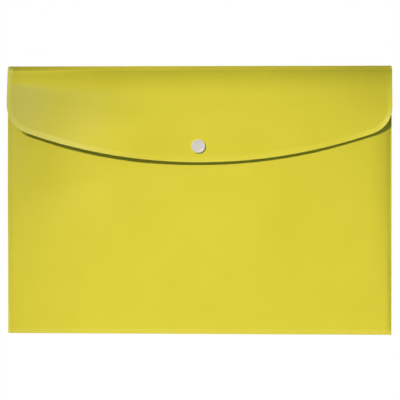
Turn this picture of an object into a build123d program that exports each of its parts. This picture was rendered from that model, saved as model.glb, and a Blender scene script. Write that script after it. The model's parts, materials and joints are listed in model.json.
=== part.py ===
from build123d import *

import math
import os

# A landscape A4 document wallet in polypropylene sheet, closed by a flap with a press stud.
# It lies on its back panel: X runs along the folds, Y from the bottom fold to the flap's fold,
# Z up. The origin is on the underside, in the middle of the wallet's outline. Millimetres.

# Wallet and sheet
wallet_width = 335.0
wallet_height = 234.0
sheet = 0.2

# Pocket: how far the front panel stands off the back panel, and how it comes down at its edges
pocket_gap = 5.4
side_curve_run = 20.0
bottom_curve_run = 90.0
mouth_drop = 28.0
weld_width = 1.6

# Flap, measured in plan from the wallet's top edge
flap_depth = 84.3
flap_edge_radius = 462.0
flap_corner_radius = 25.0
flap_curve_run = 24.0
flap_curve_rise = 4.0

# Fold strip between the two creases, and the play that lets a crease turn
fold_setback = 4.6
crease_play = 0.02

# Press stud, placed from the middle of the flap's free edge
snap_inset = 13.9
cap_diameter = 12.0
cap_height = 1.55
cap_edge_round = 0.4
cap_rim = 1.3
cap_dish = 0.2
rear_cap_height = 0.9
prong_diameter = 2.0
prong_play = 0.15
rivet_head_diameter = 3.2
rivet_head_height = 0.35
rivet_seat_depth = 0.45
flange_diameter = 10.6
socket_floor = 0.9
socket_ring_height = 1.4
socket_ring_wall = 1.5
socket_bore = 5.0
socket_lip_height = 0.3
socket_lip = 0.1
stud_flange = 0.7
stud_post_height = 1.25
stud_post_play = 0.3
stud_post_round = 0.25
snap_play = 0.1

# Levels and edges that the pieces share
half_width = wallet_width / 2
top_edge = wallet_height / 2
fold_axis_y = sheet - wallet_height / 2
panel_half_width = half_width - weld_width
mouth_edge = top_edge - mouth_drop
flap_free_edge = top_edge - flap_depth
snap_y = flap_free_edge + snap_inset
panel_inner = sheet + pocket_gap
panel_outer = panel_inner + sheet
snap_stack = stud_flange + snap_play + socket_ring_height + socket_floor
flap_under = panel_outer + snap_stack
flap_top = flap_under + sheet
flap_middle = flap_under + sheet / 2

# The crease lines lie in the middle of the sheet's thickness, and the strip leans between them
back_crease_y = top_edge - sheet / 2
back_crease_z = sheet / 2
front_crease_y = top_edge - fold_setback
front_crease_z = flap_middle + flap_curve_rise
strip_run = back_crease_y - front_crease_y
strip_rise = front_crease_z - back_crease_z
strip_width = math.hypot(strip_run, strip_rise)
strip_lean = math.atan2(strip_rise, strip_run)

# The flap comes down from its crease and levels out along an arc
flap_curve_radius = (flap_curve_run**2 + flap_curve_rise**2) / (2 * flap_curve_rise)
flap_slope = math.asin(flap_curve_run / flap_curve_radius)
flap_level_y = front_crease_y - flap_curve_run

# Opened, the strip lies along the desk and the flap's level part is parallel to it
back_crease_travel = math.pi - strip_lean
front_crease_travel = strip_lean


def crease_setback(angle):
    """How far a sheet stops short of a crease when the strip leaves that crease at this angle to it."""
    bead = sheet / 2
    beside_strip = (bead * (1 + math.cos(angle)) + crease_play) / math.sin(angle)
    return max(beside_strip, bead + crease_play)


def extruded_along_x(section, half_length):
    """A solid from a section drawn in Y and Z, reaching half_length to both sides."""
    return extrude(Plane.YZ * section, amount=half_length, both=True)


def turned(outline):
    """A solid of revolution about Z from an outline drawn in radius and height."""
    return revolve(Plane.XZ * make_face(outline), Axis.Z)


def at_snap(solid, level):
    """Put a press-stud piece on the wallet's centre line at a level."""
    return Pos(0, snap_y, level) * solid


def prong_hole(level):
    """The hole that a prong passes through in a sheet whose underside is at this level."""
    hole = Cylinder(prong_diameter / 2 + prong_play, sheet, align=(Align.CENTER, Align.CENTER, Align.MIN))
    return at_snap(hole, level)


def back_panel():
    """The flat sheet that the wallet lies on."""
    setback = crease_setback(strip_lean)
    end_y = back_crease_y - setback
    length = end_y - fold_axis_y
    middle = (end_y + fold_axis_y) / 2
    return Pos(0, middle, sheet / 2) * Box(wallet_width, length, sheet)


def under_front_panel(lift, floor):
    """What lies under the front panel's inner face raised by lift, down to the floor level."""
    edge = panel_half_width
    crown = panel_inner + lift
    foot = sheet + lift
    shoulder = edge - side_curve_run
    right = TangentArc((shoulder, crown), (edge, foot), tangent=(1, 0))
    left = TangentArc((-shoulder, crown), (-edge, foot), tangent=(-1, 0))
    across = make_face([
        left,
        Line((-shoulder, crown), (shoulder, crown)),
        right,
        Polyline((edge, foot), (edge, floor), (-edge, floor), (-edge, foot)),
    ])
    level_y = fold_axis_y + bottom_curve_run
    rise = TangentArc((level_y, crown), (fold_axis_y, foot), tangent=(-1, 0))
    mouth = Polyline((level_y, crown), (mouth_edge, crown), (mouth_edge, floor))
    base = Polyline((mouth_edge, floor), (fold_axis_y, floor), (fold_axis_y, foot))
    along = make_face([rise, mouth, base])
    across_prism = extrude(Plane.XZ * across, amount=wallet_height, both=True)
    return across_prism & extruded_along_x(along, wallet_width)


def front_panel():
    """The sheet that rises off the welds and the bottom fold and is level at the mouth."""
    panel = under_front_panel(sheet, sheet) - under_front_panel(0, 0)
    return panel - prong_hole(panel_inner)


def bottom_fold():
    """The half-round turn of the sheet from the back panel to the front panel."""
    outer = CenterArc((fold_axis_y, sheet), sheet, 90, 180)
    section = make_face([outer, Line(outer @ 1, outer @ 0)])
    return extruded_along_x(section, half_width)


def weld_seam(side):
    """The edge of the front sheet, fused down on the back sheet from the bottom fold to the mouth."""
    length = mouth_edge - fold_axis_y
    centre_x = side * (half_width - weld_width / 2)
    centre_y = (mouth_edge + fold_axis_y) / 2
    return Pos(centre_x, centre_y, sheet + sheet / 2) * Box(weld_width, length, sheet)


def fold_strip():
    """The strip between the creases, with round edges that turn on the crease lines."""
    middle = Pos((back_crease_y + front_crease_y) / 2, (back_crease_z + front_crease_z) / 2)
    section = middle * SlotCenterToCenter(strip_width, sheet, rotation=-math.degrees(strip_lean))
    return extruded_along_x(section, half_width)


def flap_outline():
    """The flap in plan: straight sides, rounded corners and an arched free edge."""
    sagitta = flap_edge_radius - math.sqrt(flap_edge_radius**2 - half_width**2)
    corner_y = flap_free_edge + sagitta
    left = Line((-half_width, corner_y), (-half_width, top_edge))
    top = Line((-half_width, top_edge), (half_width, top_edge))
    right = Line((half_width, top_edge), (half_width, corner_y))
    arch = ThreePointArc((half_width, corner_y), (0, flap_free_edge), (-half_width, corner_y))
    plan = make_face([left, top, right, arch])
    return fillet(plan.vertices().sort_by(Axis.Y)[:2], flap_corner_radius)


def flap():
    """The flap: an arc down from its crease, then level over the pocket."""
    setback = crease_setback(math.pi - strip_lean - flap_slope) / flap_curve_radius
    arc_turn = math.degrees(flap_slope - setback)
    centre = (flap_level_y, flap_middle + flap_curve_radius)
    upper = CenterArc(centre, flap_curve_radius - sheet / 2, -90, arc_turn)
    lower = CenterArc(centre, flap_curve_radius + sheet / 2, -90, arc_turn)
    level = Polyline(upper @ 0, (flap_free_edge, flap_top), (flap_free_edge, flap_under), lower @ 0)
    section = make_face([upper, level, lower, Line(lower @ 1, upper @ 1)])
    plan = extrude(flap_outline(), amount=front_crease_z + sheet)
    return (extruded_along_x(section, half_width) & plan) - prong_hole(flap_under)


def riveted_cap(height, grip):
    """A cap on top of what it grips, with its prong through it and a flattened head underneath."""
    radius = cap_diameter / 2
    prong = prong_diameter / 2
    head = rivet_head_diameter / 2
    shoulder = Polyline((radius, 0), (radius, height - cap_edge_round))
    corner = TangentArc(shoulder @ 1, (radius - cap_edge_round, height), tangent=(0, 1))
    top = Polyline(
        corner @ 1,
        (radius - cap_rim, height),
        (radius - cap_rim - cap_dish, height - cap_dish),
        (0, height - cap_dish),
        (0, -grip - rivet_head_height),
        (head, -grip - rivet_head_height),
        (head, -grip),
        (prong, -grip),
        (prong, 0),
        (radius, 0),
    )
    return turned([shoulder, corner, top])


def snap_cap():
    """The cap on the flap, riveted through to the socket."""
    return at_snap(riveted_cap(cap_height, sheet + socket_floor - rivet_seat_depth), flap_top)


def snap_socket():
    """The ring under the flap that snaps over the stud."""
    bore = socket_bore / 2
    ring = bore + socket_ring_wall
    hole = prong_diameter / 2 + prong_play
    seat = rivet_head_diameter / 2 + prong_play
    mouth = -socket_floor - socket_ring_height
    outline = Polyline(
        (hole, 0),
        (flange_diameter / 2, 0),
        (flange_diameter / 2, -socket_floor),
        (ring, -socket_floor),
        (ring, mouth),
        (bore - socket_lip, mouth),
        (bore - socket_lip, mouth + socket_lip_height),
        (bore, mouth + socket_lip_height + socket_lip),
        (bore, -socket_floor),
        (seat, -socket_floor),
        (seat, rivet_seat_depth - socket_floor),
        (hole, rivet_seat_depth - socket_floor),
        close=True,
    )
    return at_snap(turned(outline), flap_under)


def snap_stud():
    """The stud on the front panel, hollowed at the top for its rivet head."""
    hole = prong_diameter / 2 + prong_play
    seat = rivet_head_diameter / 2 + prong_play
    post = socket_bore / 2 - stud_post_play
    top = stud_flange + stud_post_height
    side = Polyline(
        (hole, top - rivet_seat_depth),
        (hole, 0),
        (flange_diameter / 2, 0),
        (flange_diameter / 2, stud_flange),
        (post, stud_flange),
        (post, top - stud_post_round),
    )
    corner = TangentArc(side @ 1, (post - stud_post_round, top), tangent=(0, 1))
    crown = Polyline(corner @ 1, (seat, top), (seat, top - rivet_seat_depth), side @ 0)
    return at_snap(turned([side, corner, crown]), panel_outer)


def snap_rear_cap():
    """The cap inside the pocket, whose prong rivets the stud on."""
    cap = riveted_cap(rear_cap_height, sheet + stud_flange + stud_post_height - rivet_seat_depth)
    return at_snap(Rot(180, 0, 0) * cap, panel_inner)


pieces = {
    "back_panel": back_panel(),
    "front_panel": front_panel(),
    "bottom_fold": bottom_fold(),
    "left_weld_seam": weld_seam(-1),
    "right_weld_seam": weld_seam(1),
    "fold_strip": fold_strip(),
    "flap": flap(),
    "snap_cap": snap_cap(),
    "snap_socket": snap_socket(),
    "snap_stud": snap_stud(),
    "snap_rear_cap": snap_rear_cap(),
}

os.makedirs("parts", exist_ok=True)
for name, piece in pieces.items():
    export_step(piece, f"parts/{name}.step")

print("back crease at y, z:", back_crease_y, back_crease_z, "opens", math.degrees(back_crease_travel))
print("front crease at y, z:", front_crease_y, front_crease_z, "opens", math.degrees(front_crease_travel))
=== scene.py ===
import json
import math

import bpy
import numpy as np
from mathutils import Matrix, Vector


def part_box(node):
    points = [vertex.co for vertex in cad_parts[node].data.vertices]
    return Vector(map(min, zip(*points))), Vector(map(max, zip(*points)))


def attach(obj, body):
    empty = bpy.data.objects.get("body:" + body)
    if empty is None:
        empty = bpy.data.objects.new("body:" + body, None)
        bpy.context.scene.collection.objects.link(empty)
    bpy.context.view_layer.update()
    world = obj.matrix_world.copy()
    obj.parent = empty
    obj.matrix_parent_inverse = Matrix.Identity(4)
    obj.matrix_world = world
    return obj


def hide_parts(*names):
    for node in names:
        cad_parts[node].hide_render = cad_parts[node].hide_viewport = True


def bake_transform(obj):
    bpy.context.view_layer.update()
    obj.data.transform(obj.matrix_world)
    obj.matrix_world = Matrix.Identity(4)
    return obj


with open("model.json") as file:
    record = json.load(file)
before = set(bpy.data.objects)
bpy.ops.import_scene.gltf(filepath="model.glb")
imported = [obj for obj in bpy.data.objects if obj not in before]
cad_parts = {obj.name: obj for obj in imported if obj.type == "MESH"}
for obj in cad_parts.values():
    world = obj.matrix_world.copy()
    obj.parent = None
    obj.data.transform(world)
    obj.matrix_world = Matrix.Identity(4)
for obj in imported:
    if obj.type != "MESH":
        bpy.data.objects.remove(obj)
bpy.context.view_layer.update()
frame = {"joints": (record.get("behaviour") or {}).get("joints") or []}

# A yellow polypropylene document wallet, closed and lying on its back, seen from above.
# Lengths are in metres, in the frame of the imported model: X along the folds, Y up the page, Z up.
# A span holds the place where something starts to come in and the place where it is all there.
MM = 0.001

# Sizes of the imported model
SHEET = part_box("back_panel")[1].z
HALF_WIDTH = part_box("back_panel")[1].x
BOTTOM_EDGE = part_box("bottom_fold")[0].y
PANEL_HALF_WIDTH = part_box("front_panel")[1].x
FOLD_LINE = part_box("front_panel")[0].y
MOUTH_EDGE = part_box("front_panel")[1].y
PANEL_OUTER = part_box("front_panel")[1].z
PANEL_INNER = PANEL_OUTER - SHEET
POCKET_GAP = PANEL_INNER - SHEET
FLAP_FREE_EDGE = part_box("flap")[0].y
FLAP_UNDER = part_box("flap")[0].z
FLAP_TOP = FLAP_UNDER + SHEET
FLAP_MIDDLE = FLAP_UNDER + SHEET / 2
CREASES = {joint["name"]: np.array(joint["pos_m"]) for joint in frame["joints"]}
BACK_CREASE = CREASES["back_crease"]
FRONT_CREASE = CREASES["front_crease"]

# Front panel: a line is pressed inside its edges. Outside the line it lies flat at the left and the bottom,
# and inside it rises slowly, though by the mouth its left side stays low for longer. At the right it rolls up
# off the weld, turns and goes on rising.
PRESSED_LINE = 4.4 * MM
PRESSED_LINE_WIDTH = 0.45 * MM
PRESSED_LINE_DEPTH = 0.05 * MM
PRESSED_LINE_X = HALF_WIDTH - PRESSED_LINE
PRESSED_LINE_Y = BOTTOM_EDGE + PRESSED_LINE
LEFT_CURVE_RUN = 110 * MM
LEFT_LATE_SPAN = (35 * MM, 100 * MM)
LEFT_LATE_SHARE = 0.85
BY_MOUTH_SPAN = (-30 * MM, 20 * MM)
RIGHT_ROLL_RUN = 5 * MM
RIGHT_ROLL_SHARE = 0.08
RIGHT_TURN_RUN = 18 * MM
RIGHT_TURN_SHARE = 0.52
RIGHT_CURVE_RUN = 100 * MM
BOTTOM_CURVE_RUN = 170 * MM
BOTTOM_SOFT_START = 12 * MM

# The pocket's left edge stands out a little, less again towards the top, and its welds are thin where sealed
LEFT_FLARE = 0.48 * MM
LEFT_FLARE_SPAN = (-95 * MM, 35 * MM)
SIDES_TOP_SPAN = (112 * MM, 82 * MM)
WELD_SEAL_WIDTH = 0.5 * MM
WELD_SEAL_SHARE = 0.55

# Radii of the sheet's middle at the two creases, and what the front one gains at its left end
BACK_CREASE_BEND = 0.2 * MM
FRONT_CREASE_BEND = 0.25 * MM
LEFT_CREASE_BEND = 0.9 * MM

# Flap in plan: an arch, a little askew, rounded into the sides
FLAP_EDGE_RADIUS = 462 * MM
FLAP_CORNER_RADIUS = 25 * MM
FLAP_SKEW = 0.0018
ARCH_CENTRE_Y = FLAP_FREE_EDGE + FLAP_EDGE_RADIUS
CORNER_X = HALF_WIDTH - FLAP_CORNER_RADIUS
CORNER_Y = ARCH_CENTRE_Y - math.sqrt((FLAP_EDGE_RADIUS - FLAP_CORNER_RADIUS) ** 2 - CORNER_X**2)
CORNER_START_X = CORNER_X * FLAP_EDGE_RADIUS / (FLAP_EDGE_RADIUS - FLAP_CORNER_RADIUS)

# The flap is cut a little wider at its corners and narrower at its crease
LEFT_TAPER = 1.4 * MM
RIGHT_TAPER = 0.3 * MM
LEFT_BULGE = 0.2 * MM
RIGHT_BULGE = 0.42 * MM
TAPER_START_Y = CORNER_Y + 3 * MM
TAPER_RUN = 30 * MM

# Flap in profile: it dips from its crease, deeper and more sharply at the right, and comes up to a level part
FLAP_DIP = 5.4 * MM
FLAP_DIP_RUN = 22.4 * MM
FLAP_DIP_POWER = 2.35
FLAP_DIP_Y = FRONT_CREASE[1] - FLAP_DIP_RUN
FLAP_LEVEL_SPAN = (FLAP_DIP_Y - 2 * MM, FLAP_DIP_Y - 40 * MM)
RIGHT_DIP = 0.4 * MM
RIGHT_DIP_SPAN = (70 * MM, 150 * MM)
RIGHT_DIP_POWER = 0.35
RIGHT_DIP_POWER_SPAN = (60 * MM, 160 * MM)

# The flap's left end stays as high as the crease down to a slanting ridge, but for a shallow valley above it
LEFT_END_SPAN = (-60 * MM, -150 * MM)
LEFT_END_POWER = 1.35
LEFT_RIDGE_Y = 101.4 * MM
LEFT_RIDGE_SLANT = 0.16
LEFT_VALLEY = 0.6 * MM
LEFT_VALLEY_Y = 103.6 * MM
LEFT_VALLEY_WIDTH = 6 * MM
LEFT_VALLEY_SPAN = (-80 * MM, -115 * MM)

# The flap's border stands up, by a step at the left end and by a ramp elsewhere. The arched edge and the
# right side curl up, and the left edge falls.
BORDER_WIDTH = 4.4 * MM
BORDER_STEP = 0.2 * MM
BORDER_STEP_WIDTH = 0.7 * MM
BORDER_STEP_SPAN = (-98 * MM, -128 * MM)
BORDER_RAMP = 0.32 * MM
BORDER_RAMP_POWER = 1.1
BORDER_RAMP_SPAN = (-75 * MM, -15 * MM)
OFF_CREASE_SPAN = (FRONT_CREASE[1] - 2 * MM, FRONT_CREASE[1] - 6 * MM)
ARCH_CURL = 0.4 * MM
ARCH_CURL_WIDTH = 22 * MM
ARCH_CURL_POWER = 2
RIGHT_CURL = 0.7 * MM
RIGHT_CURL_WIDTH = 4.6 * MM
RIGHT_CURL_POWER = 1.3
RIGHT_CURL_SPAN = (120 * MM, 160 * MM)
LEFT_EDGE_FALL = 0.9 * MM
LEFT_EDGE_WIDTH = 3.1 * MM
LEFT_EDGE_POWER = 2

# The flap's free edge stands off between the snap and the left corner, and droops towards both corners
SLACK_TOP_Y = FLAP_DIP_Y + 16 * MM
LEFT_LIFT = 2.65 * MM
LEFT_LIFT_X = -68 * MM
LEFT_LIFT_WIDTH = 36 * MM
LEFT_DROOP = 2.1 * MM
LEFT_DROOP_SPAN = (-85 * MM, -145 * MM)
RIGHT_SAG = 0.55 * MM
RIGHT_SAG_X = 105 * MM
RIGHT_SAG_WIDTH = 60 * MM
RIGHT_DROOP = 3.4 * MM
RIGHT_DROOP_SPAN = (80 * MM, 185 * MM)
RIGHT_SLACK_EARLY = 0.3
RIGHT_SLACK_SPAN = (80 * MM, 140 * MM)

# Press stud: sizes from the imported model, then those of its inner forms and the rounding of its edges
SNAP_Y = (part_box("snap_cap")[0].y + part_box("snap_cap")[1].y) / 2
CAP_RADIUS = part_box("snap_cap")[1].x
CAP_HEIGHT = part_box("snap_cap")[1].z - FLAP_TOP
REAR_CAP_HEIGHT = PANEL_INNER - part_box("snap_rear_cap")[0].z
FLANGE_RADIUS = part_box("snap_stud")[1].x
STUD_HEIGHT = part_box("snap_stud")[1].z - PANEL_OUTER
SOCKET_DEPTH = FLAP_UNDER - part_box("snap_socket")[0].z
CAP_RIM = 1.3 * MM
CAP_DISH = 0.2 * MM
CAP_DISH_SLOPE = 0.5 * MM
PRONG_RADIUS = 1 * MM
RIVET_RADIUS = 1.6 * MM
RIVET_HEIGHT = 0.35 * MM
RIVET_SEAT = 0.45 * MM
SEAT_PLAY = 0.15 * MM
HOLE_RADIUS = PRONG_RADIUS + SEAT_PLAY
SEAT_RADIUS = RIVET_RADIUS + SEAT_PLAY
SOCKET_FLOOR = 0.9 * MM
SOCKET_RING_WALL = 1.5 * MM
SOCKET_BORE_RADIUS = 2.5 * MM
SOCKET_LIP_HEIGHT = 0.3 * MM
SOCKET_LIP = 0.1 * MM
STUD_FLANGE = 0.7 * MM
STUD_POST_RADIUS = 2.2 * MM
LIP_ROUND = 0.04 * MM
RIVET_ROUND = 0.1 * MM
EDGE_ROUND = 0.12 * MM
ROOT_ROUND = 0.15 * MM
WIDE_ROUND = 0.25 * MM
DISH_ROUND = 0.3 * MM
CAP_ROUND = 0.45 * MM

# Colours
SHEET_YELLOW = (0.735, 0.645, 0.050, 1)
SHEET_DEEP = (0.685, 0.605, 0.041, 1)
CLOUD_SHADE = (0.54, 0.49, 0.008, 1)
STRIP_AND_EDGE_SHADE = (0.485, 0.438, 0.034, 1)
CREASE_PALE = (0.76, 0.68, 0.07, 1)
SHEEN_GREY = (0.71, 0.64, 0.124, 1)
HIGHLIGHT_PALE = (0.80, 0.72, 0.17, 1)
CUT_EDGE = (0.80, 0.73, 0.10, 1)
WELD_YELLOW = (0.72, 0.63, 0.040, 1)
WELD_DEEP = (0.66, 0.58, 0.032, 1)
SNAP_PALE = (0.68, 0.64, 0.65, 1)
SNAP_SHADE = (0.60, 0.565, 0.585, 1)
WHITE = (1, 1, 1, 1)

# Marks on the pocket: painted shade along the right edge and in faint clouds, a painted grey sheen, and
# painted highlights on the bottom margin, the lower left weld and the bottom fold. A cloud holds its
# strength, its middle and how far it spreads along X and Y.
RIGHT_EDGE_SHADE = 0.34
RIGHT_EDGE_MORE_SHADE = 0.56
RIGHT_EDGE_MORE_SHADE_SPAN = (-5 * MM, -65 * MM)
RIGHT_EDGE_FOOT_SPAN = (BOTTOM_EDGE, BOTTOM_EDGE + 7 * MM)
RIGHT_EDGE_SPAN = (HALF_WIDTH - 6.2 * MM, HALF_WIDTH)
RIGHT_SHADE_CLOUD = (0.18, (76 * MM, -18 * MM), (28 * MM, 42 * MM))
LEFT_SHADE_CLOUD = (0.16, (-128 * MM, 18 * MM), (25 * MM, 30 * MM))
PANEL_SHEEN = (0.27, (-165 * MM, 45 * MM), (20 * MM, 38 * MM))
MARGIN_HIGHLIGHT = 0.15
MARGIN_BLUR = 0.8 * MM
LOW_LEFT_HIGHLIGHT = 0.6
LOW_LEFT_SPAN = (-80 * MM, -110 * MM)
BEAD_HIGHLIGHT = 0.75

# Marks on the fold strip and the creases: how much shade is painted on the strip and along the front crease,
# and how much more is added over a span
STRIP_SHADE = 0.36
STRIP_MORE_SHADE = [
    (0.30, (-100 * MM, -150 * MM)),
    (0.35, (-152 * MM, -166 * MM)),
    (0.18, (-40 * MM, 20 * MM)),
    (0.22, (90 * MM, 140 * MM)),
]
STRIP_EDGE_LEAD = 0.24 * MM
STRIP_EDGE_BLUR = 1.2 * MM
BACK_CREASE_WIDTH = 0.9 * MM
FRONT_CREASE_WIDTH = 0.4 * MM

# Marks on the flap: painted shade in its middle and in a cloud left of it, a painted grey sheen at the left
# end and painted highlights on its border
MIDDLE_SHADE = 0.15
MIDDLE_SHADE_X = 15 * MM
MIDDLE_SHADE_WIDTH = 85 * MM
MIDDLE_SHADE_POWER = 4
MIDDLE_SHADE_SPAN = (FLAP_DIP_Y + 6 * MM, FLAP_DIP_Y - 10 * MM)
FLAP_SHADE_CLOUD = (0.3, (-76 * MM, 78 * MM), (36 * MM, 14 * MM))
SHEEN_TOP = 100.4 * MM
SHEEN_SLANT = 0.075
SHEEN_BLUR = 5.5 * MM
SHEEN_CORNER = 0.57
SHEEN_CORNER_X = -150 * MM
SHEEN_CORNER_WIDTH = 17 * MM
SHEEN_BESIDE = 0.43
SHEEN_BESIDE_SPAN = (-45 * MM, -105 * MM)
SHEEN_BESIDE_LEAN = 0.6
SHEEN_LOST_BY_ARCH = 0.25
SHEEN_ARCH_WIDTH = 14 * MM
SHEEN_LOST_ON_BORDER = 0.6
BORDER_SHARE = 0.03
LEFT_BORDER_SHARE = 0.68
LEFT_BORDER_X = -125 * MM
LEFT_BORDER_WIDTH = 44 * MM
LEFT_SIDE_LESS = 0.15
LEFT_SIDE_SPAN = (62 * MM, 80 * MM)
FREE_EDGE_SHARE = 0.1
FREE_EDGE_WIDTH = 1.2 * MM
RIGHT_LINE_SHARE = 0.22
RIGHT_LINE_FOOT_SPAN = (CORNER_Y, CORNER_Y + 6 * MM)
RIGHT_LINE_TOP_SPAN = (FRONT_CREASE[1] - 3 * MM, FRONT_CREASE[1] - 7 * MM)

# Meshes: steps of a bend, where the back panel's rows get closer before its crease, how far in from the free
# edge the flap's rows lie and in how many steps, and the sides of a turned moulding
BEND_STEPS = 14
BESIDE_CREASE = 2 * MM
FLAP_ROWS = ((0.3 * MM, 2), (7 * MM, 24), (20 * MM, 12))
TURNED_SIDES = 96
SHARP_ANGLE = math.radians(38)

# The map of the unfolded sheet, and how far a moulding's height shifts its place on that map
FLAT_MAP = "flat"
FLAT_MAP_SHIFT = 0.6

# Camera
CAMERA_DISTANCE = 1.6
CAMERA_SENSOR = 36
CAMERA_LEAN = math.radians(2.9)
CAMERA_ROLL = math.radians(0.08)
PICTURE_WIDTH = 348.6 * MM
PICTURE_LEVEL = 3 * MM
PICTURE_CENTRE = (1.1 * MM, 0.05 * MM)

# Lamps, table top and room
KEY_PLACE = (-1.72, 1.72, 3.11)
KEY_RADIUS = 0.13
KEY_COLOUR = (1.0, 0.90, 0.74)
KEY_AIM = (0.107, -0.216, 0)
KEY_SPREAD = math.radians(11.18)
KEY_SOFTNESS = 0.675
KEY_WATTS = 708
REAR_AIM = (-0.2, 1.0, 0)
REAR_SPREAD = math.radians(26.16)
REAR_SOFTNESS = 0.18
REAR_WATTS = 420
TABLE_HALF = 3.0
TABLE_LEVEL = -0.05 * MM
TABLE_GREY = (0.40, 0.40, 0.40, 1)
TABLE_WHITE_SHARE = 0.985
TABLE_WHITE_STRENGTH = 1.01
ROOM_COLOUR = (0.71, 0.97, 1.0, 1)
ROOM_LIGHT = 0.26


# Shader sockets as Python values

class Shade:
    """A socket in a material's node tree: operators add Math nodes, and add() any other node."""

    def __init__(self, tree, socket=None):
        self.tree = tree
        self.socket = socket

    def add(self, kind, settings=None, sockets=None, output=0):
        """A new node: its settings are set first, then its sockets are set or linked."""
        node = self.tree.nodes.new(kind)
        for key, value in (settings or {}).items():
            setattr(node, key, value)
        for key, value in (sockets or {}).items():
            self.feed(node.inputs[key], value)
        return Shade(self.tree, node.outputs[output])

    def feed(self, target, value):
        """Link a socket to a node's input, or set a plain value on it."""
        if isinstance(value, Shade):
            self.tree.links.new(value.socket, target)
        else:
            target.default_value = value

    def math(self, operation, *values):
        """A sum on sockets and plain values."""
        return self.add("ShaderNodeMath", {"operation": operation}, dict(enumerate(values)))

    def __add__(self, other):
        return self.math("ADD", self, other)

    def __sub__(self, other):
        return self.math("SUBTRACT", self, other)

    def __mul__(self, other):
        return self.math("MULTIPLY", self, other)

    __radd__ = __add__
    __rmul__ = __mul__

    def noise(self, place, scale, detail):
        """Cloudy noise about 0, from -0.5 to 0.5, at a number of cells per metre."""
        sockets = {"Vector": place, "Scale": scale, "Detail": detail}
        return self.add("ShaderNodeTexNoise", {}, sockets) - 0.5

    def mark(self, name):
        """One of a piece's painted-on marks, from 0 to 1."""
        return self.add("ShaderNodeAttribute", {"attribute_name": name}, output="Fac")

    def mix(self, share, first, second):
        """One colour turning into another."""
        settings = {"data_type": "RGBA", "clamp_factor": True}
        return self.add("ShaderNodeMix", settings, {0: share, 6: first, 7: second}, output=2)

    def relief(self, height, strength, distance):
        """A surface direction that follows a height."""
        sockets = {"Strength": strength, "Distance": distance, "Height": height}
        return self.add("ShaderNodeBump", {}, sockets)

    def seen_directly(self):
        """1 for rays from the camera, and 0 for all others."""
        return self.add("ShaderNodeLightPath", output="Is Camera Ray")


def new_finish(name):
    """A material: itself, its node tree as a Shade, its flat map and its surface shader."""
    material = bpy.data.materials.new(name)
    material.use_nodes = True
    shade = Shade(material.node_tree)
    flat = shade.add("ShaderNodeUVMap", {"uv_map": FLAT_MAP})
    return material, shade, flat, material.node_tree.nodes["Principled BSDF"]


def paint(shade, surface, values):
    """Set or link the sockets of a surface shader."""
    for key, value in values.items():
        shade.feed(surface.inputs[key], value)


# Finishes

def sheet_finish():
    """Polypropylene sheet: fine satin grain, slightly cloudy, and more matt on the strip. It has painted
    shade on the strip, in faint clouds and along the right edge, a painted grey sheen where it would reflect
    a haze of pale light, and painted highlights on the border, and it is paler at the crease at the back and
    the cut edges."""
    material, shade, flat, surface = new_finish("yellow_sheet")
    clouds = shade.noise(flat, 28, 3)
    grain = shade.noise(flat, 1500, 3)
    peel = shade.noise(flat, 420, 1)
    colour = shade.mix(0.5 + 1.2 * clouds + 0.35 * grain, SHEET_DEEP, SHEET_YELLOW)
    # Painted shade: in faint clouds on the pocket and the flap, and on the strip, along the front crease and
    # down the right edge
    colour = shade.mix(shade.mark("painted_shade"), colour, CLOUD_SHADE)
    colour = shade.mix(shade.mark("fold"), colour, STRIP_AND_EDGE_SHADE)
    colour = shade.mix(shade.mark("crease") * 0.3, colour, CREASE_PALE)
    # A painted grey sheen for a haze of reflected light, and painted highlights on the border
    colour = shade.mix(shade.mark("grey_sheen") * (1 + 0.5 * clouds), colour, SHEEN_GREY)
    colour = shade.mix(shade.mark("border"), colour, HIGHLIGHT_PALE)
    colour = shade.mix(shade.mark("rim") * 0.8, colour, CUT_EDGE)
    paint(shade, surface, {
        "Base Color": colour,
        "Roughness": 0.40 + 0.08 * clouds + 0.06 * grain + 0.5 * shade.mark("matt"),
        "Normal": shade.relief(grain + 2.0 * peel, 0.5, 0.02 * MM),
        "IOR": 1.49,
        "Specular IOR Level": 0.25,
    })
    return material


def weld_finish():
    """The welded margin: the grain pressed out to a faint ripple, with painted shade along the right edge, a
    painted highlight at the lower left, and paler on its cut edge."""
    material, shade, flat, surface = new_finish("welded_sheet")
    clouds = shade.noise(flat, 90, 3)
    ripple = shade.noise(flat, 700, 2)
    colour = shade.mix(0.55 + 1.1 * clouds + 0.4 * ripple, WELD_DEEP, WELD_YELLOW)
    # Painted shade down the right edge, and a painted highlight at the lower left
    colour = shade.mix(shade.mark("fold"), colour, STRIP_AND_EDGE_SHADE)
    colour = shade.mix(shade.mark("border"), colour, HIGHLIGHT_PALE)
    colour = shade.mix(shade.mark("rim") * 0.25, colour, CUT_EDGE)
    paint(shade, surface, {
        "Base Color": colour,
        "Roughness": 0.34 + 0.10 * clouds,
        "Normal": shade.relief(ripple, 0.4, 0.02 * MM),
        "IOR": 1.49,
    })
    return material


def snap_finish():
    """Pale moulded plastic with a satin tool finish."""
    material, shade, flat, surface = new_finish("pale_moulding")
    clouds = shade.noise(flat, 260, 2)
    grain = shade.noise(flat, 4200, 2)
    paint(shade, surface, {
        "Base Color": shade.mix(0.6 + 0.9 * clouds + 0.3 * grain, SNAP_SHADE, SNAP_PALE),
        "Roughness": 0.38 + 0.12 * clouds + 0.05 * grain,
        "Normal": shade.relief(grain, 0.35, 0.01 * MM),
        "IOR": 1.5,
    })
    return material


FINISHES = {
    "wallet_sheet": sheet_finish(),
    "weld": weld_finish(),
    "snap_plastic": snap_finish(),
}


# Shares, from 0 to 1, that shapes and marks are made of

def ease(share):
    """From 0 to 1 with a level start and finish."""
    share = np.clip(share, 0, 1)
    return share * share * (3 - 2 * share)


def fade_in(value, start, end):
    """0 up to the start of a span and 1 from its end on. The end may lie below the start."""
    return ease((value - start) / (end - start))


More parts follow.
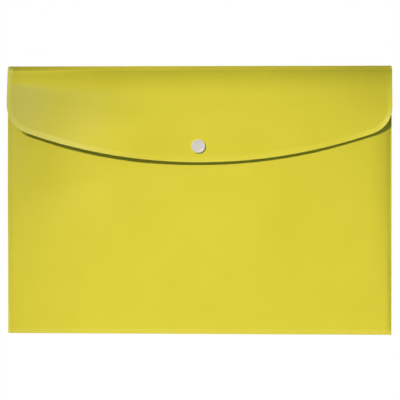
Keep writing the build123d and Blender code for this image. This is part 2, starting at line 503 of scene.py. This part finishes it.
def across_line(distance, blur):
    """From 0 to 1 across a line that is blurred over a width, and a half on the line."""
    return ease(0.5 + distance / blur)


def bell(distance, width, power=2):
    """1 at no distance, fading out on both sides, and flatter on top with a higher power."""
    return np.exp(-((distance / width) ** power))


def near(distance, reach, power):
    """1 at an edge and 0 from a reach on, falling sooner with a higher power."""
    return np.clip(1 - distance / reach, 0, 1) ** power


def rise_share(distance, run):
    """From 0 to 1 over a run, steepest at its start."""
    return 1 - near(distance, run, 2)


def cloud(x, y, strength, middle, spread):
    """A soft spot that fades out all round its middle."""
    return strength * bell(x - middle[0], spread[0]) * bell(y - middle[1], spread[1])


# Mesh helpers

def stations(start, *runs):
    """Places along a line: from the start through the end of each run, in that run's number of steps."""
    places = [np.array([start])]
    for end, steps in runs:
        places.append(np.linspace(places[-1][-1], end, steps + 1)[1:])
    return np.concatenate(places)


def make_piece(name, slot, points, faces, flat, marks):
    """A piece in one of the finishes, with its unfolded coordinates as a map and its marks as attributes."""
    mesh = bpy.data.meshes.new(name)
    mesh.from_pydata(points.tolist(), [], faces)
    corners = np.empty(len(mesh.loops), np.int32)
    mesh.loops.foreach_get("vertex_index", corners)
    layer = mesh.uv_layers.new(name=FLAT_MAP)
    layer.data.foreach_set("uv", flat[corners].astype(np.float32).ravel())
    for mark, values in marks.items():
        attribute = mesh.attributes.new(mark, "FLOAT", "POINT")
        attribute.data.foreach_set("value", values.astype(np.float32))
    mesh.shade_smooth()
    mesh.set_sharp_from_angle(angle=SHARP_ANGLE)
    mesh.materials.append(FINISHES[slot])
    piece = bpy.data.objects.new(name, mesh)
    bpy.context.scene.collection.objects.link(piece)
    return piece


def grid_normals(middle):
    """Unit normals of a grid of points, upwards where its rows run along X and follow each other up Y."""
    normals = np.cross(np.gradient(middle, axis=1), np.gradient(middle, axis=0))
    return normals / np.linalg.norm(normals, axis=2, keepdims=True)


def grid_faces(index):
    """The four-cornered faces of a grid of point numbers."""
    corners = [index[:-1, :-1], index[:-1, 1:], index[1:, 1:], index[1:, :-1]]
    return np.stack(corners, axis=-1).reshape(-1, 4)


def sheet_piece(name, slot, middle, flat, marks, cut_sides, thickness=SHEET):
    """A closed sheet about a grid of middle points, with marks given on the same grid. cut_sides says which
    of the first row, last column, last row and first column are cut edges that show."""
    rows, columns = middle.shape[:2]
    half = grid_normals(middle) * np.broadcast_to(thickness, (rows, columns))[..., None] / 2
    points = np.concatenate([(middle + half).reshape(-1, 3), (middle - half).reshape(-1, 3)])
    index = np.arange(rows * columns).reshape(rows, columns)
    upper = grid_faces(index)
    lower = upper[:, ::-1] + rows * columns
    around = np.concatenate([index[0, :-1], index[:-1, -1], index[-1, :0:-1], index[:0:-1, 0]])
    onward = np.roll(around, -1)
    rim_faces = np.stack([around + rows * columns, onward + rows * columns, onward, around], axis=-1)
    rim = np.zeros((rows, columns))
    for shown, side in zip(cut_sides, (np.s_[0, :], np.s_[:, -1], np.s_[-1, :], np.s_[:, 0])):
        rim[side] = np.maximum(rim[side], shown)
    marks = {mark: np.tile(values.ravel(), 2) for mark, values in {"rim": rim, **marks}.items()}
    flat = np.tile(flat.reshape(-1, 2), (2, 1))
    faces = np.concatenate([upper, lower, rim_faces]).tolist()
    return make_piece(name, slot, points, faces, flat, marks)


def eased_corners(corners, steps=5):
    """An outline through (radius, height, rounding) corners, each rounded corner turned into a short arc."""
    outline = []
    for number, (radius, height, rounding) in enumerate(corners):
        here = np.array([radius, height])
        if not rounding:
            outline.append(here)
            continue
        before = np.array(corners[number - 1][:2]) - here
        after = np.array(corners[(number + 1) % len(corners)][:2]) - here
        start = here + before / np.linalg.norm(before) * rounding
        end = here + after / np.linalg.norm(after) * rounding
        for share in np.linspace(0, 1, steps + 1):
            outline.append((1 - share) ** 2 * start + 2 * share * (1 - share) * here + share**2 * end)
    return np.array(outline)


def turned_faces(rings):
    """Faces between rings of point numbers, and from the last to the first, where a ring may be one point."""
    faces = []
    for ring, following in zip(rings, rings[1:] + rings[:1]):
        for side in range(TURNED_SIDES):
            along = (side + 1) % TURNED_SIDES
            face = [ring[side % len(ring)], ring[along % len(ring)]]
            face += [following[along % len(following)], following[side % len(following)]]
            face = list(dict.fromkeys(int(corner) for corner in face))
            if len(face) > 2:
                faces.append(face)
    return faces


def turned_piece(name, corners, level, facing=1):
    """A moulding turned about the snap's axis, from a closed outline that runs anticlockwise in radius
    and height. A facing of -1 turns it upside down."""
    turns = np.arange(TURNED_SIDES) * 2 * math.pi / TURNED_SIDES
    points = []
    rings = []
    for radius, height in eased_corners(corners):
        ring = turns if radius > 0 else turns[:1]
        rings.append(np.arange(len(ring)) + len(points))
        for turn in ring:
            x = radius * math.cos(turn)
            y = radius * math.sin(turn) * facing
            points.append((x, SNAP_Y + y, level + height * facing))
    points = np.array(points)
    flat = points[:, :2] + FLAT_MAP_SHIFT * points[:, 2:]
    return make_piece(name, "snap_plastic", points, turned_faces(rings), flat, {})


# Pocket

def flared(x, y):
    """Places across the pocket, whose left edge stands out a little towards the mouth."""
    share = fade_in(y, *LEFT_FLARE_SPAN) * fade_in(y, *SIDES_TOP_SPAN)
    return x * (1 + np.where(x < 0, LEFT_FLARE / HALF_WIDTH * share, 0))


def left_rise(x, y):
    """How far up the front panel is on its left side, as a share of the pocket's gap."""
    from_line = x + PRESSED_LINE_X
    below = rise_share(from_line, LEFT_CURVE_RUN)
    by_mouth = fade_in(from_line, *LEFT_LATE_SPAN)
    return below + LEFT_LATE_SHARE * (by_mouth - below) * fade_in(y, *BY_MOUTH_SPAN)


def right_rise(x):
    """How far up the front panel is on its right side, as a share of the pocket's gap."""
    from_weld = PANEL_HALF_WIDTH - x
    rise = RIGHT_ROLL_SHARE * rise_share(from_weld, RIGHT_ROLL_RUN)
    rise += RIGHT_TURN_SHARE * rise_share(from_weld, RIGHT_TURN_RUN)
    return rise + (1 - RIGHT_ROLL_SHARE - RIGHT_TURN_SHARE) * rise_share(from_weld, RIGHT_CURVE_RUN)


def panel_rise(x, y):
    """How far the front panel stands off the back panel."""
    up = np.clip(y - PRESSED_LINE_Y, 0, None)
    along = rise_share(np.hypot(up, BOTTOM_SOFT_START) - BOTTOM_SOFT_START, BOTTOM_CURVE_RUN)
    return POCKET_GAP * np.where(x < 0, left_rise(x, y), right_rise(x)) * along


def right_edge_shade(y):
    """Painted shade along the right edge, where the sheet turns from the light: more towards the bottom."""
    painted_shade = RIGHT_EDGE_SHADE + RIGHT_EDGE_MORE_SHADE * fade_in(y, *RIGHT_EDGE_MORE_SHADE_SPAN)
    return painted_shade * fade_in(y, *RIGHT_EDGE_FOOT_SPAN)


def panel_grid():
    """Places across and up the front panel, closer together beside the pressed line."""
    beside = 2 * PRESSED_LINE_WIDTH
    left = stations(-PANEL_HALF_WIDTH, (-PRESSED_LINE_X - beside, 4), (-PRESSED_LINE_X + beside, 9))
    right = -left[::-1]
    between = stations(left[-1], (LEFT_CURVE_RUN - PANEL_HALF_WIDTH, 30),
                       (PANEL_HALF_WIDTH - RIGHT_TURN_RUN, 70), (right[0], 18))
    edge = np.concatenate([left, between[1:-1], right])
    length = stations(FOLD_LINE, (PRESSED_LINE_Y - beside, 5),
                      (PRESSED_LINE_Y + beside, 9), (MOUTH_EDGE, 100))
    return np.meshgrid(edge, length)


def front_sheet():
    """The pocket's front: rises off the welds and the bottom fold, with a line pressed inside its edges."""
    x, y = panel_grid()
    from_line = np.minimum(np.abs(PRESSED_LINE_X - np.abs(x)), np.abs(y - PRESSED_LINE_Y))
    z = 1.5 * SHEET + panel_rise(x, y) - PRESSED_LINE_DEPTH * bell(from_line, PRESSED_LINE_WIDTH)
    middle = np.stack([flared(x, y), y, z], axis=-1)
    flat = np.stack([x, y], axis=-1)
    # Painted highlight on the bottom margin, painted shade in two clouds and down the right edge, and a
    # painted grey sheen at the upper left
    marks = {
        "border": MARGIN_HIGHLIGHT * across_line(PRESSED_LINE_Y - y, MARGIN_BLUR),
        "painted_shade": cloud(x, y, *RIGHT_SHADE_CLOUD) + cloud(x, y, *LEFT_SHADE_CLOUD),
        "grey_sheen": cloud(x, y, *PANEL_SHEEN),
        "fold": right_edge_shade(y) * fade_in(x, *RIGHT_EDGE_SPAN),
    }
    piece = sheet_piece("front_sheet", "wallet_sheet", middle, flat, marks, cut_sides=(0, 0, 1, 0))
    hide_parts("front_panel")
    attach(piece, "pocket")


def weld_margin(side):
    """A welded side margin: the front sheet pressed down on the back sheet, thinned at its sealed edge."""
    outer = side * HALF_WIDTH
    in_from_edge = stations(0, (WELD_SEAL_WIDTH, 5), (HALF_WIDTH - PANEL_HALF_WIDTH, 8))
    edge = np.sort(outer - side * in_from_edge)
    length = stations(FOLD_LINE, (MOUTH_EDGE, 120))
    x, y = np.meshgrid(edge, length)
    full = fade_in(np.abs(outer - x), 0, WELD_SEAL_WIDTH)
    thickness = SHEET * (WELD_SEAL_SHARE + (1 - WELD_SEAL_SHARE) * full)
    middle = np.stack([flared(x, y), y, SHEET + thickness / 2], axis=-1)
    flat = np.stack([x, y], axis=-1)
    name = "left_weld" if side < 0 else "right_weld"
    cut_sides = (0, side > 0, 1, side < 0)
    # Painted shade down the right weld, and a painted highlight on the lower left one
    marks = {
        "fold": right_edge_shade(y) * (side > 0),
        "border": LOW_LEFT_HIGHLIGHT * fade_in(y, *LOW_LEFT_SPAN) * (side < 0),
    }
    piece = sheet_piece(name, "weld", middle, flat, marks, cut_sides, thickness)
    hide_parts(name + "_seam")
    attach(piece, "pocket")


def fold_bead():
    """The half-round turn of the sheet at the bottom, from the back panel to the front panel."""
    turns = np.linspace(-math.pi / 2, math.pi / 2, 13)
    edge = stations(-HALF_WIDTH, (HALF_WIDTH, 120))
    x, turn = np.meshgrid(edge, turns)
    points = np.stack([x, FOLD_LINE - SHEET * np.cos(turn), SHEET + SHEET * np.sin(turn)], axis=-1)
    index = np.arange(x.size).reshape(x.shape)
    faces = np.concatenate([grid_faces(index), grid_faces(index[[-1, 0]])]).tolist()
    faces += [index[:, 0].tolist(), index[::-1, -1].tolist()]
    flat = np.stack([x, SHEET * turn], axis=-1).reshape(-1, 2)
    # Painted highlight along the bottom fold
    marks = {"border": np.full(x.size, BEAD_HIGHLIGHT)}
    piece = make_piece("bottom_bead", "wallet_sheet", points.reshape(-1, 3), faces, flat, marks)
    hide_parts("bottom_fold")
    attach(piece, "pocket")


# Creases, drawn in Y and Z as a bend between two straight runs

def unit(vector):
    """A vector's direction, one unit long."""
    return vector / np.linalg.norm(vector)


STRIP_UP = unit(FRONT_CREASE[1:] - BACK_CREASE[1:])
STRIP_MIDDLE = (FRONT_CREASE[1:] + BACK_CREASE[1:]) / 2
PANEL_OUT = np.array([1.0, 0.0])


def bend(corner, heading_in, heading_out, radius):
    """Points of a rounded corner from one heading to another, first to last."""
    turn = math.acos(float(np.clip(heading_in @ heading_out, -1, 1)))
    reach = radius * math.tan(turn / 2)
    start = corner - heading_in * reach
    side = unit(heading_out - heading_in * (heading_in @ heading_out))
    angles = np.linspace(0, turn, BEND_STEPS + 1)[:, None]
    return start + radius * (np.sin(angles) * heading_in + (1 - np.cos(angles)) * side)


def half_strip(start):
    """Points from the end of a bend, without it, to the middle of the fold strip."""
    return np.linspace(start, STRIP_MIDDLE, 8)[1:]


def run_lengths(lines):
    """Length along a line of points from its start, or along each line where they stand side by side."""
    steps = np.linalg.norm(np.diff(lines, axis=0), axis=-1)
    return np.concatenate([np.zeros_like(steps[:1]), np.cumsum(steps, axis=0)])


def spread_along(column, edge):
    """The same values all along the edge."""
    return np.repeat(column[:, None], len(edge), axis=1)


def tapered(x, share):
    """Places across the flap or the strip, drawn in by a share of the taper."""
    return x * (1 - np.where(x < 0, LEFT_TAPER, RIGHT_TAPER) / HALF_WIDTH * share)


def strip_shade(x):
    """How much shade is painted on the strip along the fold: most towards its ends."""
    return STRIP_SHADE + sum(more * fade_in(x, *span) for more, span in STRIP_MORE_SHADE)


def back_sheet():
    """The back panel with its crease and the lower half of the fold strip."""
    turn = bend(BACK_CREASE[1:], PANEL_OUT, STRIP_UP, BACK_CREASE_BEND)
    panel_y = stations(FOLD_LINE, (turn[0][0] - BESIDE_CREASE, 110), (turn[0][0], 6))[:-1]
    panel = np.stack([panel_y, np.full_like(panel_y, SHEET / 2)], axis=-1)
    line = np.concatenate([panel, turn, half_strip(turn[-1])])
    edge = stations(-HALF_WIDTH, (HALF_WIDTH, 130))
    up_strip = np.clip((line[:, 1:] - BACK_CREASE[2]) / (FRONT_CREASE[2] - BACK_CREASE[2]), 0, 1)
    middle = np.empty((len(line), len(edge), 3))
    middle[..., 0] = tapered(flared(edge, line[:, :1]), up_strip)
    middle[..., 1:] = line[:, None, :]
    length = run_lengths(line)
    flat = np.stack(np.meshgrid(edge, length), axis=-1)
    crease_row = len(panel) + len(turn) // 2
    crease = bell(length - length[crease_row], BACK_CREASE_WIDTH)
    on_strip = (np.arange(len(line)) >= crease_row).astype(float)
    # Painted shade on the strip, which is also more matt, and a paler back crease
    marks = {
        "crease": spread_along(crease, edge),
        "fold": on_strip[:, None] * strip_shade(edge),
        "matt": spread_along(on_strip, edge),
    }
    piece = sheet_piece("back_sheet", "wallet_sheet", middle, flat, marks, cut_sides=(0, 1, 0, 1))
    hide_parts("back_panel")
    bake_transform(piece)


# Flap in plan

def arch_y(x):
    """The arch of the flap's free edge in plan, a little askew."""
    return ARCH_CENTRE_Y - np.sqrt(FLAP_EDGE_RADIUS**2 - x**2) - FLAP_SKEW * x


def flap_edge_y(x):
    """The flap's free edge in plan: the arch, rounded into the straight sides."""
    out = np.clip(np.abs(x) - CORNER_X, 0, FLAP_CORNER_RADIUS)
    corner = CORNER_Y - np.sqrt(FLAP_CORNER_RADIUS**2 - out**2) - FLAP_SKEW * x
    return np.where(np.abs(x) > CORNER_START_X, corner, arch_y(x))


def inside_arch(x, y):
    """Distance in from the flap's arched edge."""
    return FLAP_EDGE_RADIUS - np.hypot(x, y + FLAP_SKEW * x - ARCH_CENTRE_Y)


def inside_flap(x, y):
    """Distance in from the flap's outline."""
    from_side = HALF_WIDTH - np.abs(x)
    out_x = np.abs(x) - CORNER_X
    out_y = CORNER_Y - y - FLAP_SKEW * x
    past_corner_start = np.abs(x) * (ARCH_CENTRE_Y - CORNER_Y) > CORNER_X * (ARCH_CENTRE_Y - y)
    in_corner = (out_x > 0) & (out_y > 0) & past_corner_start
    from_corner = FLAP_CORNER_RADIUS - np.hypot(out_x, out_y)
    return np.where(in_corner, from_corner, np.minimum(from_side, inside_arch(x, y)))


def on_border(x, y):
    """1 on the flap's border and 0 inside it."""
    return across_line(BORDER_WIDTH - inside_flap(x, y), BORDER_STEP_WIDTH)


def cut_places(x, y, down_strip):
    """Places across the flap as it is cut: out at its corners, in at its crease, less so down the strip."""
    up = np.clip((y - TAPER_START_Y) / TAPER_RUN, 0, 1)
    bulge = np.where(x < 0, LEFT_BULGE, RIGHT_BULGE) * (1 - up)
    return tapered(x, up - down_strip) + x / HALF_WIDTH * bulge


# Flap in profile

def at_left_end(x):
    """How far a place belongs to the flap's left end, which stays high beside the crease."""
    return fade_in(x, *LEFT_END_SPAN)


def dip_power(x):
    """How sharply the dip turns up to the crease: more towards the right end."""
    return FLAP_DIP_POWER + RIGHT_DIP_POWER * fade_in(x, *RIGHT_DIP_POWER_SPAN)


def dip_depth(x):
    """How far the dip lies below the crease: more towards the right end."""
    return FLAP_DIP + RIGHT_DIP * fade_in(x, *RIGHT_DIP_SPAN)


def dip_height(x, y):
    """Height of the flap where it dips: from the crease down to a trough and up again to the level part."""
    trough = FRONT_CREASE[2] - dip_depth(x)
    up_to_crease = np.clip((y - FLAP_DIP_Y) / FLAP_DIP_RUN, 0, 1)
    level = (FLAP_MIDDLE - trough) * fade_in(y, *FLAP_LEVEL_SPAN)
    return trough + dip_depth(x) * up_to_crease ** dip_power(x) + level


def left_end_height(x, y):
    """Height of the flap's left end: as high as the crease down to a slanting ridge, then falling."""
    ridge = LEFT_RIDGE_Y - LEFT_RIDGE_SLANT * (x + HALF_WIDTH)
    high = near(ridge - y, ridge - arch_y(x), LEFT_END_POWER)
    return FLAP_MIDDLE + (FRONT_CREASE[2] - FLAP_MIDDLE) * high


def left_valley(x, y):
    """Depth of the shallow valley between the crease and the ridge of the left end."""
    along = bell(y - LEFT_VALLEY_Y, LEFT_VALLEY_WIDTH)
    from_crease = np.clip((FRONT_CREASE[1] - y) / LEFT_VALLEY_WIDTH, 0, 1)
    return LEFT_VALLEY * along * from_crease * fade_in(x, *LEFT_VALLEY_SPAN)


def border_rise(x, y):
    """How far the flap's border stands up: by a step at the left end and by a ramp elsewhere."""
    step = BORDER_STEP * on_border(x, y) * fade_in(x, *BORDER_STEP_SPAN)
    ramp = near(inside_flap(x, y), BORDER_WIDTH, BORDER_RAMP_POWER) * fade_in(x, *BORDER_RAMP_SPAN)
    return step + BORDER_RAMP * ramp


def edge_curl(x, y):
    """How far the flap's arched edge and its right side curl up."""
    arch = ARCH_CURL * near(inside_arch(x, y), ARCH_CURL_WIDTH, ARCH_CURL_POWER)
    at_right = fade_in(x, *RIGHT_CURL_SPAN) * fade_in(y, *SIDES_TOP_SPAN)
    return arch + RIGHT_CURL * at_right * near(inside_flap(x, y), RIGHT_CURL_WIDTH, RIGHT_CURL_POWER)


def slack(x, y):
    """How far the flap stands off between the snap and the left corner, and droops towards both corners."""
    lift = LEFT_LIFT * bell(x - LEFT_LIFT_X, LEFT_LIFT_WIDTH)
    lift -= LEFT_DROOP * fade_in(x, *LEFT_DROOP_SPAN)
    lift -= RIGHT_SAG * bell(x - RIGHT_SAG_X, RIGHT_SAG_WIDTH)
    lift -= RIGHT_DROOP * fade_in(x, *RIGHT_DROOP_SPAN)
    down = np.clip((SLACK_TOP_Y - y) / (SLACK_TOP_Y - arch_y(x)), 0, 1)
    return lift * ease(down ** (1 - RIGHT_SLACK_EARLY * fade_in(x, *RIGHT_SLACK_SPAN)))


def flap_height(x, y):
    """Height of the flap's middle: its dip and its high left end with the valley, its border, the fall of its
    left edge, the curl of its other edges and its slack."""
    dip = dip_height(x, y)
    height = dip + (left_end_height(x, y) - dip) * at_left_end(x) - left_valley(x, y)
    left_fall = LEFT_EDGE_FALL * near(x + HALF_WIDTH, LEFT_EDGE_WIDTH, LEFT_EDGE_POWER)
    height += (border_rise(x, y) - left_fall) * fade_in(y, *OFF_CREASE_SPAN)
    return height + edge_curl(x, y) + slack(x, y)


# Marks on the flap

def flap_grey_sheen(x, y):
    """Where a grey sheen is painted on the flap for a haze of reflected light: its left end, below a slanting
    line, most in the corner.
    """
    top = SHEEN_TOP - SHEEN_SLANT * (x + HALF_WIDTH)
    corner = SHEEN_CORNER * bell(np.maximum(x - SHEEN_CORNER_X, 0), SHEEN_CORNER_WIDTH)
    beside = SHEEN_BESIDE * fade_in(x + SHEEN_BESIDE_LEAN * (top - y), *SHEEN_BESIDE_SPAN)
    kept = 1 - SHEEN_LOST_BY_ARCH * bell(inside_arch(x, y), SHEEN_ARCH_WIDTH)
    kept *= 1 - SHEEN_LOST_ON_BORDER * on_border(x, y)
    return across_line(top - y, SHEEN_BLUR) * (corner + beside) * kept


def flap_painted_shade(x, y):
    """How much shade is painted on the flap: a little in its middle below the dip, more in a cloud to the
    left.
    """
    across = bell(x - MIDDLE_SHADE_X, MIDDLE_SHADE_WIDTH, MIDDLE_SHADE_POWER)
    return MIDDLE_SHADE * across * fade_in(y, *MIDDLE_SHADE_SPAN) + cloud(x, y, *FLAP_SHADE_CLOUD)


def border_highlight(x, y):
    """How strong the painted highlight on the flap's border is: most along the left part of the arch and the
    left side, with a faint line down the right side."""
    left = LEFT_BORDER_SHARE * bell(np.maximum(x - LEFT_BORDER_X, 0), LEFT_BORDER_WIDTH)
    left *= 1 - LEFT_SIDE_LESS * fade_in(y, *LEFT_SIDE_SPAN)
    free_edge = FREE_EDGE_SHARE * bell(inside_flap(x, y), FREE_EDGE_WIDTH)
    right_line = RIGHT_LINE_SHARE * bell(HALF_WIDTH - x - BORDER_WIDTH, PRESSED_LINE_WIDTH)
    right_line *= fade_in(y, *RIGHT_LINE_FOOT_SPAN) * fade_in(y, *RIGHT_LINE_TOP_SPAN)
    return on_border(x, y) * (BORDER_SHARE + left) + free_edge + right_line


def flap_marks(x, y, past_crease):
    """The marks on the flap and on the strip past its crease."""
    on_strip = across_line(past_crease + STRIP_EDGE_LEAD, STRIP_EDGE_BLUR)
    # Painted shade on the strip, along the front crease and on the flap, a painted grey sheen at the left end
    # and painted highlights on the border
    return {
        "fold": np.maximum(on_strip, bell(past_crease, FRONT_CREASE_WIDTH)) * strip_shade(x),
        "painted_shade": flap_painted_shade(x, y),
        "matt": on_strip,
        "grey_sheen": flap_grey_sheen(x, y),
        "border": border_highlight(x, y),
    }


# Flap

def flap_places():
    """Places along the flap from side to side, closer together round its corners."""
    corner_start = math.asin((CORNER_START_X - CORNER_X) / FLAP_CORNER_RADIUS)
    corner_turns = np.linspace(corner_start, math.pi / 2, 25)
    corner = CORNER_X + FLAP_CORNER_RADIUS * np.sin(corner_turns)
    arch = stations(-CORNER_START_X, (CORNER_START_X, 150))[1:-1]
    return np.concatenate([-corner[::-1], arch, corner])


def over_crease(edge):
    """Lines in Y and Z over the front crease, from the flap to the strip's middle, one for each place."""
    slopes = dip_power(edge) * dip_depth(edge) / FLAP_DIP_RUN * (1 - at_left_end(edge))
    radii = FRONT_CREASE_BEND + LEFT_CREASE_BEND * at_left_end(edge)
    lines = []
    for slope, radius in zip(slopes, radii):
        out = unit(np.array([-1.0, -slope]))
        turn = bend(FRONT_CREASE[1:], STRIP_UP, out, radius)[::-1]
        lines.append(np.concatenate([turn, half_strip(turn[-1])]))
    return np.stack(lines, axis=1)


def flap_sheet():
    """The flap with its crease and the upper half of the fold strip, from the free edge to the strip."""
    edge = flap_places()
    over = over_crease(edge)
    root_y = over[0, :, 0]
    depth = root_y.max() - FLAP_FREE_EDGE
    shares = stations(0, *FLAP_ROWS, (depth, 40)) / depth
    x, share = np.meshgrid(edge, shares[:-1])
    free_y = flap_edge_y(x)
    y = free_y + share * (root_y - free_y)
    flap = np.stack([x, y, flap_height(x, y)], axis=-1)
    rest = np.concatenate([np.broadcast_to(edge, over.shape[:2])[..., None], over], axis=-1)
    middle = np.concatenate([flap, rest])
    across = middle[..., 0]
    along = middle[..., 1]
    unfolded = root_y + run_lengths(over)
    flat = np.stack([across, np.concatenate([y, unfolded])], axis=-1)
    marks = flap_marks(across, along, flat[..., 1] - unfolded[BEND_STEPS // 2])
    down_strip = np.concatenate([np.zeros_like(y), np.clip(1 - over[..., 1] / FRONT_CREASE[2], 0, 1)])
    middle[..., 0] = cut_places(across, along, down_strip)
    piece = sheet_piece("flap_sheet", "wallet_sheet", middle, flat, marks, cut_sides=(1, 1, 0, 1))
    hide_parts("flap", "fold_strip")
    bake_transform(piece)


# Press stud

def cap_corners(height, grip):
    """Outline of a cap with its prong and flattened head, seated at level 0."""
    return [
        (0, -grip - RIVET_HEIGHT, 0),
        (RIVET_RADIUS, -grip - RIVET_HEIGHT, ROOT_ROUND),
        (RIVET_RADIUS, -grip, RIVET_ROUND),
        (PRONG_RADIUS, -grip, 0),
        (PRONG_RADIUS, 0, 0),
        (CAP_RADIUS, 0, ROOT_ROUND),
        (CAP_RADIUS, height, CAP_ROUND),
        (CAP_RADIUS - CAP_RIM, height, DISH_ROUND),
        (CAP_RADIUS - CAP_RIM - CAP_DISH_SLOPE, height - CAP_DISH, DISH_ROUND),
        (0, height - CAP_DISH, 0),
    ]


def snap_cap():
    """The pale cap on the flap, with a shallow dish inside its rim."""
    corners = cap_corners(CAP_HEIGHT, SHEET + SOCKET_FLOOR - RIVET_SEAT)
    piece = turned_piece("snap_cap_moulding", corners, FLAP_TOP)
    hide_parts("snap_cap")
    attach(piece, "flap")


def snap_socket():
    """The ring under the flap, with a lip in its mouth and a seat for the cap's rivet head."""
    ring = SOCKET_BORE_RADIUS + SOCKET_RING_WALL
    lip = SOCKET_BORE_RADIUS - SOCKET_LIP
    lip_top = SOCKET_LIP_HEIGHT - SOCKET_DEPTH
    corners = [
        (HOLE_RADIUS, 0, 0),
        (HOLE_RADIUS, RIVET_SEAT - SOCKET_FLOOR, 0),
        (SEAT_RADIUS, RIVET_SEAT - SOCKET_FLOOR, 0),
        (SEAT_RADIUS, -SOCKET_FLOOR, EDGE_ROUND),
        (SOCKET_BORE_RADIUS, -SOCKET_FLOOR, 0),
        (SOCKET_BORE_RADIUS, lip_top + SOCKET_LIP, 0),
        (lip, lip_top, LIP_ROUND),
        (lip, -SOCKET_DEPTH, EDGE_ROUND),
        (ring, -SOCKET_DEPTH, WIDE_ROUND),
        (ring, -SOCKET_FLOOR, ROOT_ROUND),
        (FLANGE_RADIUS, -SOCKET_FLOOR, WIDE_ROUND),
        (FLANGE_RADIUS, 0, EDGE_ROUND),
    ]
    piece = turned_piece("snap_socket_moulding", corners, FLAP_UNDER)
    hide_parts("snap_socket")
    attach(piece, "flap")


def snap_stud():
    """The stud on the front panel, hollowed at the top for its rivet head."""
    corners = [
        (HOLE_RADIUS, 0, 0),
        (FLANGE_RADIUS, 0, EDGE_ROUND),
        (FLANGE_RADIUS, STUD_FLANGE, WIDE_ROUND),
        (STUD_POST_RADIUS, STUD_FLANGE, ROOT_ROUND),
        (STUD_POST_RADIUS, STUD_HEIGHT, WIDE_ROUND),
        (SEAT_RADIUS, STUD_HEIGHT, EDGE_ROUND),
        (SEAT_RADIUS, STUD_HEIGHT - RIVET_SEAT, 0),
        (HOLE_RADIUS, STUD_HEIGHT - RIVET_SEAT, 0),
    ]
    piece = turned_piece("snap_stud_moulding", corners, PANEL_OUTER)
    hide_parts("snap_stud")
    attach(piece, "pocket")


def snap_rear_cap():
    """The dished cap inside the pocket, whose prong rivets the stud on."""
    corners = cap_corners(REAR_CAP_HEIGHT, SHEET + STUD_HEIGHT - RIVET_SEAT)
    piece = turned_piece("snap_rear_moulding", corners, PANEL_INNER, facing=-1)
    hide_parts("snap_rear_cap")
    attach(piece, "pocket")


# Studio

def camera():
    """The camera above the wallet, a little to its right, with the top of the picture towards +Y."""
    data = bpy.data.cameras.new("camera")
    data.sensor_width = CAMERA_SENSOR
    data.lens = CAMERA_SENSOR * CAMERA_DISTANCE / PICTURE_WIDTH
    seen_from = bpy.data.objects.new("camera", data)
    back = Vector((math.sin(CAMERA_LEAN), 0, math.cos(CAMERA_LEAN)))
    seen_from.location = Vector((*PICTURE_CENTRE, PICTURE_LEVEL)) + CAMERA_DISTANCE * back
    seen_from.rotation_euler = (0, CAMERA_LEAN, CAMERA_ROLL)
    bpy.context.scene.collection.objects.link(seen_from)
    bpy.context.scene.camera = seen_from


def spot(name, aim, watts, spread, softness):
    """A small spotlight at the key's place, which isn't seen itself."""
    data = bpy.data.lights.new(name, "SPOT")
    data.energy = watts
    data.color = KEY_COLOUR
    data.spot_size = spread
    data.spot_blend = softness
    data.shadow_soft_size = KEY_RADIUS
    light = bpy.data.objects.new(name, data)
    light.location = KEY_PLACE
    light.rotation_euler = (Vector(aim) - Vector(KEY_PLACE)).to_track_quat("-Z", "Y").to_euler()
    light.visible_camera = False
    bpy.context.scene.collection.objects.link(light)


def lights():
    """A key from the upper left whose pool lies on the lower middle, and another at the same place that
    lights the ground behind for the opened flap."""
    spot("key", KEY_AIM, KEY_WATTS, KEY_SPREAD, KEY_SOFTNESS)
    spot("rear", REAR_AIM, REAR_WATTS, REAR_SPREAD, REAR_SOFTNESS)


def table_finish():
    """Matt grey for the light, and white with a faint shadow for the camera."""
    material = bpy.data.materials.new("white_table")
    material.use_nodes = True
    tree = material.node_tree
    tree.nodes.remove(tree.nodes["Principled BSDF"])
    shade = Shade(tree)
    matt = shade.add("ShaderNodeBsdfDiffuse", {}, {"Color": TABLE_GREY})
    white = shade.add("ShaderNodeEmission", {}, {"Color": WHITE, "Strength": TABLE_WHITE_STRENGTH})
    share = shade.seen_directly() * TABLE_WHITE_SHARE
    surface = shade.add("ShaderNodeMixShader", {}, {0: share, 1: matt, 2: white})
    shade.feed(tree.nodes["Material Output"].inputs["Surface"], surface)
    return material


def floor():
    """The table top that the wallet lies on."""
    mesh = bpy.data.meshes.new("table_top")
    corners = [(x * TABLE_HALF, y * TABLE_HALF, TABLE_LEVEL) for x, y in ((-1, -1), (1, -1), (1, 1), (-1, 1))]
    mesh.from_pydata(corners, [], [(0, 1, 2, 3)])
    mesh.materials.append(table_finish())
    table = bpy.data.objects.new("table_top", mesh)
    bpy.context.scene.collection.objects.link(table)


def surroundings():
    """Even light from a pale room, seen as white."""
    world = bpy.data.worlds.new("pale_room")
    world.use_nodes = True
    bpy.context.scene.world = world
    shade = Shade(world.node_tree)
    seen = shade.seen_directly()
    background = world.node_tree.nodes["Background"]
    shade.feed(background.inputs["Color"], shade.mix(seen, ROOM_COLOUR, WHITE))
    shade.feed(background.inputs["Strength"], ROOM_LIGHT + (1 - ROOM_LIGHT) * seen)


front_sheet()
weld_margin(-1)
weld_margin(1)
fold_bead()
back_sheet()
flap_sheet()
snap_cap()
snap_socket()
snap_stud()
snap_rear_cap()
camera()
lights()
floor()
surroundings()
bpy.context.scene.view_settings.view_transform = "Standard"
